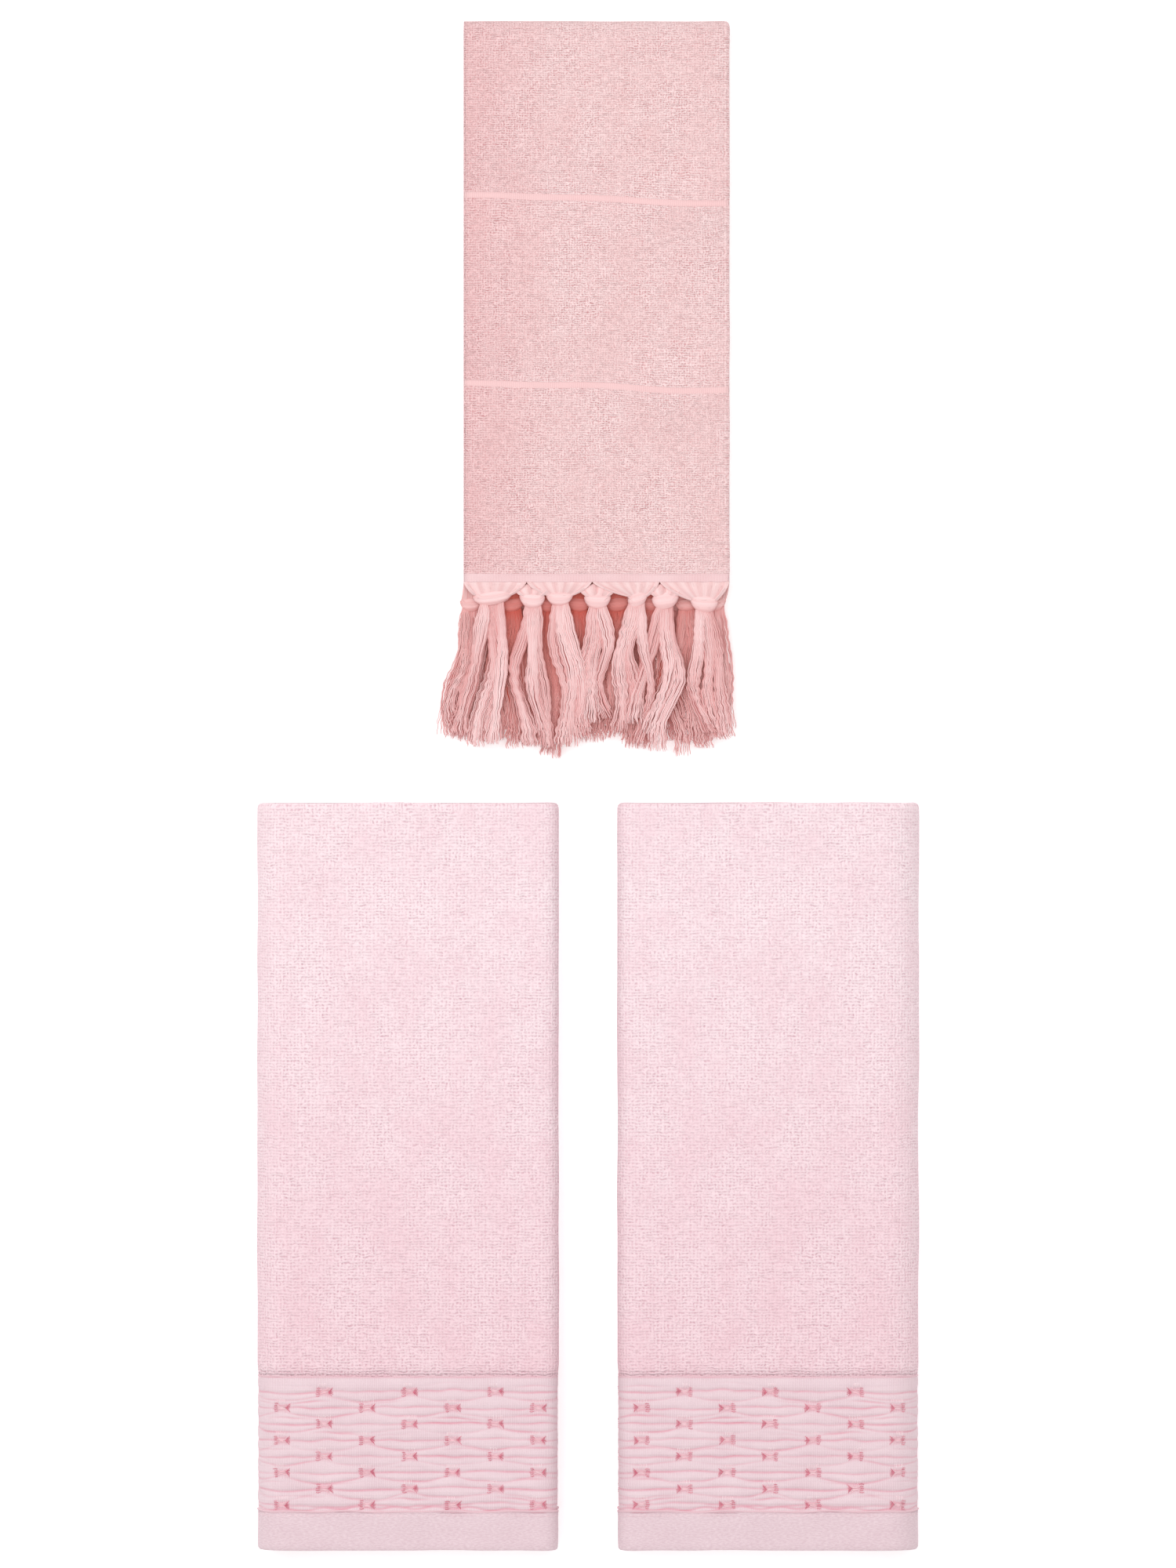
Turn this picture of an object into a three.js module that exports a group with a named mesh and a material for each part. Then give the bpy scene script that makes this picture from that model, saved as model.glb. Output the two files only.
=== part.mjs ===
// Bath towel set: two folded bath towels side by side and a folded, fringed hand towel above them.
// Millimetres, +Z up. The towels lie flat on Z = 0, +Y runs up the towels, and the origin is at the
// middle of the set's footprint. Every towel is folded in plies, and each ply is a solid of its own.
import * as THREE from "three";

// ---- layout on the table
const SET_LENGTH = 888.2; // top of the hand towel's fold to the bottom of the bath towels' hems
const BATH_SPLIT = 34; // free table between the two bath towels
const BATH_LENGTH = 433.2; // folded, a third of the towel
const BATH_WIDTH = 175.2; // folded, a quarter of the towel
const HAND_LENGTH = 329; // fold to the bottom of the header, half the towel without its fringe
const HAND_WIDTH = 154.6; // folded, a third of the towel
const HAND_SHIFT = 5; // the hand towel lies this far to the right of the middle

// ---- cloth
const BATH_PLY = 2.7; // pressed terry
const HAND_PLY = 2.75;
const PLY_GAP = 0.3; // between plies that lie on each other
const PIECE_GAP = 0.3; // between zones of one ply
const FOLD_GAP = 0.3; // between the two halves of a folded towel
const PLIES_PER_FOLD = 3;
const ARC_STEPS = 6;

// ---- bath towel zones along Y, from its lower end
const HEM_HEIGHT = 22;
const BORDER_HEIGHT = 78.5;
const HEM_RECESS = 0.3; // below the face of the terry
const BORDER_RECESS = 0.5;
const FLAP_REVEAL = 2; // how far each flap stops short of the book fold's curve

// ---- hand towel zones along Y
const BAND_HEIGHT = 3.6;
const BAND_FROM_FOLD = [104, 213]; // band centres, measured from the half fold
const HEADER_HEIGHT = 6.9;
const BAND_PLY = 2.2;
const HEADER_PLY = 2.3;

// ---- fringe
const FRINGE_LENGTH = 101; // header edge to the longest tip
const TIP_STEP = 3.2; // the tips end unevenly, in these steps
const TIP_STEPS = 4;
const KNOT_HALF_WIDTH = 7.4;
const SKIRT_HALF_WIDTH = 9;
const TASSEL_CLEARANCE = 0.6; // free space on each side of a tassel
const ROW_HALF_HEIGHT = 2.75; // each row of tassels lies flattened
const ROW_GAP = 0.6;
const EDGE_ROOM = 10.5; // how far a tassel's axis may lie past the towel's side
const FRONT_SHIFTS = [5.8, 6.7, 0.6, 0.5, 1.9, -4.2, -3.8]; // from an even row
const MIDDLE_SHIFTS = [-6.9, -0.7, -0.5, -0.8, 2.6, 3, 3, 2.9];
const BACK_SHIFTS = [-2, 1, -1, 1.5, 0, -1.5, 1, 2];

// ---- colours
const PALE_TERRY = 0xf4dce1;
const PALE_BORDER = 0xead0d5;
const PALE_HEM = 0xe8d2d8;
const PINK_TERRY = 0xf0cacb;
const PINK_BAND = 0xf3cfd0;
const PINK_YARN = 0xe9b4b2;

const set = new THREE.Group();

function cloth(color, roughness = 0.95) {
  return new THREE.MeshStandardMaterial({ color, roughness, metalness: 0 });
}

function addPiece(parent, name, geometry, material) {
  const mesh = new THREE.Mesh(geometry, material);
  mesh.name = name;
  parent.add(mesh);
  return mesh;
}

// A cross-section drawn as u across and v up, turned so that it runs from the local Y = 0 towards -Y.
function extrudeAlongY(shape, length) {
  const geometry = new THREE.ExtrudeGeometry(shape, {
    depth: length,
    bevelEnabled: false,
    curveSegments: ARC_STEPS,
  });
  return geometry.rotateX(Math.PI / 2);
}

// The same cross-section flipped across, upside down, or both.
function flipped(shape, signU, signV) {
  const points = shape.getPoints(ARC_STEPS);
  return new THREE.Shape(points.map((p) => new THREE.Vector2(signU * p.x, signV * p.y)));
}

// ---- bath towel
// One half of a bath towel: a cover and the flap folded in under it, in nested plies. u runs from the
// book fold to the open side, v up from the plane between the halves. The cover curves down to that
// plane at the book fold, and each ply turns round the open side into its part of the flap.
const bathHalfHeight = 2 * PLIES_PER_FOLD * (BATH_PLY + PLY_GAP);
const bookRadius = bathHalfHeight - FOLD_GAP / 2;
const flapFoldRadius = bookRadius / 2;

function bathPlyShape(plyIndex, recess) {
  const low = FOLD_GAP / 2;
  const outside = plyIndex * (BATH_PLY + PLY_GAP) + recess;
  const inside = plyIndex * (BATH_PLY + PLY_GAP) + BATH_PLY;
  const flapTip = bookRadius + FLAP_REVEAL;
  const foldU = BATH_WIDTH - flapFoldRadius;
  const foldV = low + flapFoldRadius;
  const shape = new THREE.Shape();
  shape.moveTo(outside, low);
  shape.absarc(bookRadius, low, bookRadius - outside, Math.PI, Math.PI / 2, true);
  shape.lineTo(foldU, foldV + flapFoldRadius - outside);
  shape.absarc(foldU, foldV, flapFoldRadius - outside, Math.PI / 2, -Math.PI / 2, true);
  shape.lineTo(flapTip, foldV - flapFoldRadius + outside);
  shape.lineTo(flapTip, foldV - flapFoldRadius + inside);
  shape.lineTo(foldU, foldV - flapFoldRadius + inside);
  shape.absarc(foldU, foldV, flapFoldRadius - inside, -Math.PI / 2, Math.PI / 2, false);
  shape.lineTo(bookRadius, foldV + flapFoldRadius - inside);
  shape.absarc(bookRadius, low, bookRadius - inside, Math.PI / 2, Math.PI, false);
  shape.closePath();
  return shape;
}

// Zones of a ply along Y, listed from the towel's upper end, each with its own length.
const borderLow = HEM_HEIGHT;
const borderHigh = HEM_HEIGHT + BORDER_HEIGHT;
const bathZones = [
  { part: "terry_field", ply: 0, low: borderHigh, high: BATH_LENGTH, recess: 0, color: PALE_TERRY },
  { part: "puckered_border", ply: 0, low: borderLow, high: borderHigh, recess: BORDER_RECESS, color: PALE_BORDER },
  { part: "hem", ply: 0, low: 0, high: borderLow, recess: HEM_RECESS, color: PALE_HEM },
  { part: "middle_ply", ply: 1, low: 0, high: BATH_LENGTH, recess: 0, color: PALE_TERRY },
  { part: "inner_ply", ply: 2, low: 0, high: BATH_LENGTH - borderHigh, recess: 0, color: PALE_TERRY },
  {
    part: "inner_border_end",
    ply: 2,
    low: BATH_LENGTH - borderHigh,
    high: BATH_LENGTH,
    recess: BORDER_RECESS,
    color: PALE_BORDER,
  },
];

function addBathHalf(towel, towelName, halfName, signU, signV) {
  for (const zone of bathZones) {
    const shape = flipped(bathPlyShape(zone.ply, zone.recess), signU, signV);
    const trimLow = zone.low > 0 ? PIECE_GAP / 2 : 0;
    const trimHigh = zone.high < BATH_LENGTH ? PIECE_GAP / 2 : 0;
    const geometry = extrudeAlongY(shape, zone.high - trimHigh - zone.low - trimLow);
    const piece = addPiece(towel, `${towelName}_${halfName}_${zone.part}`, geometry, cloth(zone.color));
    piece.position.y = zone.high - trimHigh;
  }
}

// Each bath towel opens like a book whose back is its outer side, away from the other towel.
for (const side of [-1, 1]) {
  const towel = new THREE.Group();
  const towelName = side < 0 ? "left" : "right";
  towel.position.set(side * (BATH_SPLIT / 2 + BATH_WIDTH), -SET_LENGTH / 2, bathHalfHeight);
  addBathHalf(towel, towelName, "back", -side, -1);
  addBathHalf(towel, towelName, "front", -side, 1);
  set.add(towel);
}

// ---- hand towel
// One half of the hand towel: three plies of one cloth folded in a Z across its width. u runs from the
// left side, v up from the plane between the halves.
const handPitch = HAND_PLY + PLY_GAP;
const handHalfHeight = FOLD_GAP / 2 + PLIES_PER_FOLD * handPitch - PLY_GAP;

function handPlyShape(ply) {
  const lowMid = FOLD_GAP / 2 + HAND_PLY / 2;
  const midMid = lowMid + handPitch;
  const highMid = midMid + handPitch;
  const half = ply / 2;
  const outer = handPitch / 2 + half;
  const inner = handPitch / 2 - half;
  const turn = handPitch / 2 + HAND_PLY / 2;
  const rightU = HAND_WIDTH - turn;
  const shape = new THREE.Shape();
  shape.moveTo(0, highMid + half);
  shape.lineTo(rightU, highMid + half);
  shape.absarc(rightU, (highMid + midMid) / 2, outer, Math.PI / 2, -Math.PI / 2, true);
  shape.lineTo(turn, midMid - half);
  shape.absarc(turn, (midMid + lowMid) / 2, inner, Math.PI / 2, (3 * Math.PI) / 2, false);
  shape.lineTo(HAND_WIDTH, lowMid + half);
  shape.lineTo(HAND_WIDTH, lowMid - half);
  shape.lineTo(turn, lowMid - half);
  shape.absarc(turn, (midMid + lowMid) / 2, outer, (3 * Math.PI) / 2, Math.PI / 2, true);
  shape.lineTo(rightU, midMid + half);
  shape.absarc(rightU, (highMid + midMid) / 2, inner, -Math.PI / 2, Math.PI / 2, false);
  shape.lineTo(0, highMid - half);
  shape.closePath();
  return shape;
}

const [firstBand, secondBand] = BAND_FROM_FOLD;
const handZones = [
  { part: "terry_top", from: 0, to: firstBand - BAND_HEIGHT / 2, ply: HAND_PLY, color: PINK_TERRY },
  {
    part: "flat_band_1",
    from: firstBand - BAND_HEIGHT / 2,
    to: firstBand + BAND_HEIGHT / 2,
    ply: BAND_PLY,
    color: PINK_BAND,
  },
  {
    part: "terry_middle",
    from: firstBand + BAND_HEIGHT / 2,
    to: secondBand - BAND_HEIGHT / 2,
    ply: HAND_PLY,
    color: PINK_TERRY,
  },
  {
    part: "flat_band_2",
    from: secondBand - BAND_HEIGHT / 2,
    to: secondBand + BAND_HEIGHT / 2,
    ply: BAND_PLY,
    color: PINK_BAND,
  },
  {
    part: "terry_bottom",
    from: secondBand + BAND_HEIGHT / 2,
    to: HAND_LENGTH - HEADER_HEIGHT,
    ply: HAND_PLY,
    color: PINK_TERRY,
  },
  { part: "header", from: HAND_LENGTH - HEADER_HEIGHT, to: HAND_LENGTH, ply: HEADER_PLY, color: PINK_BAND },
];

const hand = new THREE.Group();
const handLeft = HAND_SHIFT - HAND_WIDTH / 2;
hand.position.set(handLeft, SET_LENGTH / 2, handHalfHeight);
set.add(hand);

for (const [halfName, signV] of [["lower", -1], ["upper", 1]]) {
  for (const zone of handZones) {
    const shape = flipped(handPlyShape(zone.ply), 1, signV);
    const start = zone.from > 0 ? zone.from + PIECE_GAP / 2 : 0;
    const end = zone.to < HAND_LENGTH ? zone.to - PIECE_GAP / 2 : HAND_LENGTH;
    const name = `fringed_${halfName}_${zone.part}`;
    const piece = addPiece(hand, name, extrudeAlongY(shape, end - start), cloth(zone.color));
    piece.position.y = -start;
  }
}

// ---- tassels
// A knotted bundle of warp yarns: a short neck at the header, the knot, and a skirt that flares. The
// outline turns about the tassel's own axis and is then flattened, as it lies.
const NECK_LENGTH = 4;
const KNOT_LENGTH = 10;
const WAIST_LENGTH = 5;
const FLARE_END = 62; // from the header to where the skirt is widest
const TIP_TAPER = 7;
const NECK_HALF_WIDTH = 3;
const WAIST_HALF_WIDTH = 5;
const TASSEL_SIDES = 10;

function tasselGeometry(length, knotHalf, skirtHalf) {
  const knotTop = NECK_LENGTH;
  const knotEnd = knotTop + KNOT_LENGTH;
  const waist = Math.min(WAIST_HALF_WIDTH, knotHalf);
  const outline = [
    [0, 0],
    [NECK_HALF_WIDTH, NECK_LENGTH / 3],
    [NECK_HALF_WIDTH, knotTop],
    [knotHalf, knotTop + KNOT_LENGTH / 3],
    [knotHalf, knotEnd - KNOT_LENGTH / 4],
    [waist, knotEnd + WAIST_LENGTH / 2],
    [skirtHalf, Math.min(FLARE_END, length - 2 * TIP_TAPER)],
    [skirtHalf, length - TIP_TAPER],
    [skirtHalf * 0.8, length],
    [0, length],
  ];
  const points = outline.map(([radius, along]) => new THREE.Vector2(radius, -along));
  return new THREE.LatheGeometry(points.reverse(), TASSEL_SIDES);
}

function rowPositions(shifts) {
  const pitch = HAND_WIDTH / shifts.length;
  return shifts.map((shift, i) => {
    const x = (i + 0.5) * pitch + shift;
    return Math.min(Math.max(x, -EDGE_ROOM), HAND_WIDTH + EDGE_ROOM);
  });
}

// Half the free distance from a tassel's axis to its nearest neighbour in the row.
function roomBeside(positions, index) {
  const others = positions.filter((_, i) => i !== index);
  const nearest = Math.min(...others.map((x) => Math.abs(x - positions[index])));
  return nearest / 2 - TASSEL_CLEARANCE;
}

function addTasselRow(rowName, shifts, axisHeight) {
  const positions = rowPositions(shifts);
  positions.forEach((x, i) => {
    const room = roomBeside(positions, i);
    const knotHalf = Math.min(KNOT_HALF_WIDTH, room);
    const skirtHalf = Math.min(SKIRT_HALF_WIDTH, room);
    const length = FRINGE_LENGTH - PIECE_GAP - TIP_STEP * ((i * 3 + 2) % TIP_STEPS);
    const geometry = tasselGeometry(length, knotHalf, skirtHalf);
    geometry.scale(1, 1, ROW_HALF_HEIGHT / Math.max(knotHalf, skirtHalf));
    const tassel = addPiece(hand, `${rowName}_tassel_${i + 1}`, geometry, cloth(PINK_YARN, 0.85));
    tassel.position.set(x, -HAND_LENGTH - PIECE_GAP, axisHeight - handHalfHeight);
  });
}

const backRowHeight = ROW_HALF_HEIGHT;
const middleRowHeight = backRowHeight + 2 * ROW_HALF_HEIGHT + ROW_GAP;
const frontRowHeight = middleRowHeight + 2 * ROW_HALF_HEIGHT + ROW_GAP;
addTasselRow("back", BACK_SHIFTS, backRowHeight);
addTasselRow("middle", MIDDLE_SHIFTS, middleRowHeight);
addTasselRow("front", FRONT_SHIFTS, frontRowHeight);

export default set;
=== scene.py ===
"""A bath towel set: two folded bath towels with a puckered border, and a folded hand towel with a
knotted fringe. Metres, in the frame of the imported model. Each cloth is one folded sheet: points of the
flat cloth are carried through its folds, so the weave, the pile and the stitches follow every turn."""
import math

import bpy
import numpy as np
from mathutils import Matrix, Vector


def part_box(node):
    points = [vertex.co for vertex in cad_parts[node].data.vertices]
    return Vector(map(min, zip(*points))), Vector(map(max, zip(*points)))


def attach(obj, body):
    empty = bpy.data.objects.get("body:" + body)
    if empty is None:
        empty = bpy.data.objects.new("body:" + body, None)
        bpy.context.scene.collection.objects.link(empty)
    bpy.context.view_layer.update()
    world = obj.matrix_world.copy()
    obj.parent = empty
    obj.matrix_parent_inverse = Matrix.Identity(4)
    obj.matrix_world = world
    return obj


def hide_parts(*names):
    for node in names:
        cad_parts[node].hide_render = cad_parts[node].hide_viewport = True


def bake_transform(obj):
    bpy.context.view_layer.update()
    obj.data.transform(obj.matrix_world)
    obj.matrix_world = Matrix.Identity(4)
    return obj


MM = 0.001
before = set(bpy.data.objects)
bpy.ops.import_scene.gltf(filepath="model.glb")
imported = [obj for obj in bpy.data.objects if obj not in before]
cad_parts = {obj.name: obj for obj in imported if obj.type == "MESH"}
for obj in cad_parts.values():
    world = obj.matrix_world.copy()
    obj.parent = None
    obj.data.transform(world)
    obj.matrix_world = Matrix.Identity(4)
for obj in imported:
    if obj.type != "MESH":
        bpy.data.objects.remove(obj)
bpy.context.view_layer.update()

# ---- sizes of the cloth, in millimetres
BATH_PLY = 2.6
BATH_PITCH = 3.0  # from ply to ply in the stack
HAND_PLY = 2.6
HAND_PITCH = 3.05
HALF_GAP = 0.15  # half of the gap between the two halves of a towel
HEM_HEIGHT = 22.0
BORDER_HEIGHT = 78.5
BORDER_PLY = 1.5
BORDER_RECESS = 0.9  # how far the border's ply lies under the towel's outer face
HEM_PLY = 2.2
HEM_RECESS = 0.35
FLAP_SHORT = 2.0  # how far a bath towel's inner flap ends short of the book fold
NEAR_FOLD = 1e-3  # where a half of a cloth starts, beside the fold between the halves
FOLD_STEP = 0.8  # between the rows of points that go round a fold in the stack
SIDE_STEP = 3.5  # and round the folds at a bath towel's sides
PILE_PITCH = {"pale": (2.09, 1.80), "pink": (1.52, 1.30)}  # loops across and along the cloth

# ---- the smocked border
MOTIF_ROWS = 8
MOTIF_TOP = 92.1  # height of the first row over the towel's lower edge
MOTIF_ROW_PITCH = 9.37
MOTIF_PITCH = 49.6  # between the motifs of one row
MOTIF_PHASE = {"left": 24.7, "right": 22.5}  # the first motif's distance from the book fold
PUFF_HEIGHT = 2.0
UNDER_PRESS = 0.75  # how much of the puffs the table presses flat
SPINE_CLEAR = 9.0  # no motif lies nearer to the book fold
# the creases from a motif: where each starts, its least and most bow, its least depth, and how partial it is
CREASE_KINDS = ((0.0, -1.3, 1.1, 0.6, 0.0), (-1.3, -5.2, -3.2, 0.45, 0.3), (1.3, 2.0, 4.2, 0.0, 1.0))

# ---- the hand towel
BAND_FROM_FOLD = (104.0, 213.0)
BAND_WIDTH = 3.6
BAND_SLOPE = 4.2  # how far a band drops across the towel's front
HEADER_HEIGHT = 4.8
FAN_HEIGHT = 2.3  # of the header, left to the gathered warp yarns
FRONT_SHIFTS = (5.8, 6.7, 0.6, 0.5, 1.9, -4.2, -3.8)
MIDDLE_SHIFTS = (-5.2, -0.7, -0.5, -0.8, 2.6, 3.0, 4.4, 1.0)
BACK_SHIFTS = (-1.0, 1.0, -1.0, 1.5, 0.0, -1.5, 1.0, 0.0)
FRONT_LEAN = (-6.0, 0.5, 7.0, -3.5, -6.5, -7.0, 4.5)  # how far each front tip drifts sideways
FRONT_SPREAD = (10.2, 5.4, 6.2, 5.8, 5.4, 7.2, 6.8)  # how far each front skirt reaches to either side
# each front knot: half its width, half its height, how far it sits above the rest, and its tilt
FRONT_KNOTS = ((11.2, 3.7, 2.0, 1.2), (7.2, 4.4, 0.6, -0.5), (7.6, 3.8, 1.7, 0.3), (7.5, 4.4, 0.2, 0.2),
               (5.6, 4.1, 0.9, 2.0), (7.6, 4.7, 0.2, 0.9), (7.8, 4.7, -1.6, -0.9))
NOTCHES = (36.6, 74.6, 113.9)  # where two swags of the front header meet, from the towel's left edge
MIDDLE_SHADE_SCALES = (0.3, 1.0, 1.0, 1.0, 0.95, 0.85, 0.6, 0.3)  # how much painted red shade each middle tassel gets, by how deep in the fringe it shows
SWAG_DROP = 3.6  # how far a swag's edge falls from a notch to where its neighbour's fan comes out
SKIRT_START = 0.4  # how far under the middle of its knot a skirt begins
YARN_RADIUS = 0.31
FAN_GAP = 0.2  # how far a fan's edge keeps inside its own share of the header
POUCH_HALF_WIDTH = 11.0  # of a fan that comes out under a notch
POUCH_UNDER = 1.1  # how far such a fan lies under the swags
KNOT_DROP = 8.6  # from a tassel's top to the middle of its knot, before the knot's own rise


# ---------------------------------------------------------------- small tools
def srgb(red, green, blue):
    """A display colour, 0 to 255, as the linear colour that a shader takes."""
    def linear(value):
        value /= 255.0
        return value / 12.92 if value <= 0.04045 else ((value + 0.055) / 1.055) ** 2.4
    return (linear(red), linear(green), linear(blue), 1.0)


def soft_noise(a, b, seed, wavelength, waves=10):
    """Smooth noise of about unit height over two coordinates, with features of about wavelength."""
    rng = np.random.default_rng(seed)
    total = np.zeros(np.broadcast(a, b).shape)
    for _ in range(waves):
        angle = rng.uniform(0, 2 * math.pi)
        step = 2 * math.pi / (wavelength * rng.uniform(0.7, 1.6))
        phase = rng.uniform(0, 2 * math.pi)
        total = total + np.sin(step * (a * math.cos(angle) + b * math.sin(angle)) + phase)
    return total / math.sqrt(waves)


def smooth_step(x):
    x = np.clip(x, 0, 1)
    return x * x * (3 - 2 * x)


def spaced(start, end, step):
    """Evenly spaced values from start to end, no further apart than step."""
    count = max(1, int(math.ceil(abs(end - start) / step)))
    return np.linspace(start, end, count + 1)


def joined(*runs):
    """Runs of values end to end, without the repeated ones where they meet."""
    out = np.concatenate(runs)
    keep = np.ones(len(out), bool)
    keep[1:] = np.abs(np.diff(out)) > 1e-6
    return out[keep]


def fold_clearance(depth, inner):
    """How far a ply keeps from the plane in which a towel's halves part. The outer plies keep further
    off, so that they lie under the inner ones when the towel is opened."""
    return 0.08 + 0.14 * np.clip(inner - depth, 0, None)


class Stack:
    """A cloth folded to and fro into three plies. s runs along the cloth from its outer end."""

    def __init__(self, length, pitch, ply):
        self.radius = pitch / 2
        self.end_turn = self.radius + ply / 2
        self.straight = length - 2 * self.end_turn
        half_round = math.pi * self.radius
        first = length - self.end_turn
        second = first + half_round + self.straight
        self.marks = (first, first + half_round, second, second + half_round)  # both folds' starts and ends
        self.total = 3 * self.straight + 2 * half_round + 2 * self.end_turn

    def at(self, s, mid):
        """The cloth's middle line at s: how far along the stack, how deep, and the way out of its face."""
        s1, s2, s3, s4 = self.marks
        top = np.clip((s - s1) / self.radius, 0, math.pi)
        low = np.clip((s - s3) / self.radius, 0, math.pi)
        far = np.clip(s, None, s1) + self.radius * np.sin(top) - np.clip(s - s2, 0, self.straight)
        far = far - self.radius * np.sin(low) + np.clip(s - s4, 0, None)
        depth = mid + self.radius * (1 - np.cos(top)) + self.radius * (1 - np.cos(low))
        heading = top - low
        return far, depth, np.sin(heading), -np.cos(heading)

    def places(self, start, end, face_step, other_step):
        """Places along the cloth from start to end, close together round its two folds."""
        stops = (start, *self.marks, end)
        steps = (face_step, FOLD_STEP, other_step, FOLD_STEP, other_step)
        return joined(*[spaced(low, high, step) for low, high, step in zip(stops, stops[1:], steps)])


def make_object(name, points, quads, materials, uv=None, values=None, face_material=None):
    """A mesh object from points in millimetres and quads. uv and values are given for each point."""
    mesh = bpy.data.meshes.new(name)
    points = np.asarray(points, float).reshape(-1, 3) * MM
    quads = np.asarray(quads, np.int32).reshape(-1, 4)
    mesh.vertices.add(len(points))
    mesh.vertices.foreach_set("co", points.astype(np.float32).ravel())
    mesh.loops.add(quads.size)
    mesh.loops.foreach_set("vertex_index", quads.ravel())
    mesh.polygons.add(len(quads))
    mesh.polygons.foreach_set("loop_start", np.arange(0, quads.size, 4, dtype=np.int32))
    mesh.update(calc_edges=True)
    mesh.polygons.foreach_set("use_smooth", np.ones(len(quads), bool))
    for material in materials:
        mesh.materials.append(material)
    if face_material is not None:
        mesh.polygons.foreach_set("material_index", np.asarray(face_material, np.int32))
    if uv is not None:
        layer = mesh.uv_layers.new(name="Weave")
        flat = np.asarray(uv, np.float32).reshape(-1, 2) * MM
        layer.data.foreach_set("uv", flat[quads.ravel()].ravel())
    for key, value in (values or {}).items():
        attribute = mesh.attributes.new(key, "FLOAT", "POINT")
        attribute.data.foreach_set("value", np.asarray(value, np.float32).ravel())
    mesh.validate()
    made = bpy.data.objects.new(name, mesh)
    bpy.context.scene.collection.objects.link(made)
    return made


def signed_volume(points, quads):
    a, b, c, d = (points[quads[:, i]] for i in range(4))
    first = np.einsum("ij,ij->i", a, np.cross(b, c)).sum()
    return (first + np.einsum("ij,ij->i", a, np.cross(c, d)).sum()) / 6


def sheet_object(name, face, back, uv, materials, values=None, row_material=None):
    """A closed sheet from two grids of points, its face and its back, which share their flat places."""
    across, along = face.shape[:2]
    index = np.arange(across * along).reshape(across, along)
    cells = np.stack([index[:-1, :-1], index[1:, :-1], index[1:, 1:], index[:-1, 1:]], -1).reshape(-1, 4)
    other = cells[:, ::-1] + across * along
    ring = np.concatenate([index[:, 0], index[-1, 1:], index[-2::-1, -1], index[0, -2:0:-1]])
    following = np.roll(ring, -1)
    rims = np.stack([ring, ring + across * along, following + across * along, following], -1)
    points = np.concatenate([face.reshape(-1, 3), back.reshape(-1, 3)])
    quads = np.concatenate([cells, other, rims])
    if signed_volume(points, quads) < 0:
        quads = quads[:, ::-1]
    face_material = None
    if row_material is not None:
        cell_rows = np.broadcast_to(row_material[None, :], (across - 1, along - 1)).reshape(-1)
        rim_rows = row_material[np.minimum(ring % along, along - 2)]
        face_material = np.concatenate([cell_rows, cell_rows, rim_rows])
    doubled = {k: np.concatenate([np.ravel(v), np.ravel(v)]) for k, v in (values or {}).items()}
    flat = np.concatenate([uv.reshape(-1, 2)] * 2)
    return make_object(name, points, quads, materials, flat, doubled, face_material)


def tube_arrays(paths, radius, sides=4, flatten=1.0, reference=(0, 0, 1)):
    """Closed tubes along paths, an array of strands, steps and coordinates. Returns points and quads."""
    paths = np.asarray(paths, float)
    strands, steps = paths.shape[:2]
    radius = np.broadcast_to(radius, (strands, steps))[..., None, None]
    tangent = np.gradient(paths, axis=1)
    tangent /= np.linalg.norm(tangent, axis=2, keepdims=True) + 1e-12
    side = np.cross(tangent, np.asarray(reference, float))
    side /= np.linalg.norm(side, axis=2, keepdims=True) + 1e-12
    up = np.cross(side, tangent)
    angles = (np.arange(sides) + 0.5) * 2 * math.pi / sides
    ring = side[:, :, None] * np.cos(angles)[:, None] + flatten * up[:, :, None] * np.sin(angles)[:, None]
    points = paths[:, :, None] + radius * ring
    index = np.arange(strands * steps * sides).reshape(strands, steps, sides)
    turned = np.roll(index, -1, axis=2)
    walls = np.stack([index[:, :-1], turned[:, :-1], turned[:, 1:], index[:, 1:]], -1).reshape(-1, 4)
    caps = []
    for end, order in ((0, (3, 2, 1, 0)), (-1, (0, 1, 2, 3))):
        if sides == 4:
            caps.append(index[:, end][:, order])
        else:
            for i in range(1, sides - 2, 2):
                four = (0, i, i + 1, i + 2) if end else (0, i + 2, i + 1, i)
                caps.append(index[:, end][:, four])
    return points.reshape(-1, 3), np.concatenate([walls, *caps])


def tubes_object(name, groups, materials):
    """One object from several groups of tubes. A group is a dict of tube_arrays' arguments, with the
    values to store for each strand under "values"."""
    points, quads, stored, start = [], [], {}, 0
    for group in groups:
        values = group.pop("values", {})
        p, q = tube_arrays(**group)
        strands = len(group["paths"])
        points.append(p)
        quads.append(q + start)
        start += len(p)
        for key, value in values.items():
            value = np.asarray(value, float)
            if value.ndim == 2:  # a value for each step
                spread = np.repeat(value[:, :, None], group.get("sides", 4), axis=2).ravel()
            else:
                spread = np.repeat(np.broadcast_to(value, strands), len(p) // strands)
            stored.setdefault(key, []).append(spread)
    points, quads = np.concatenate(points), np.concatenate(quads)
    stored = {k: np.concatenate(v) for k, v in stored.items()}
    if signed_volume(points, quads) < 0:
        quads = quads[:, ::-1]
    return make_object(name, points, quads, materials, values=stored)


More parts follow.
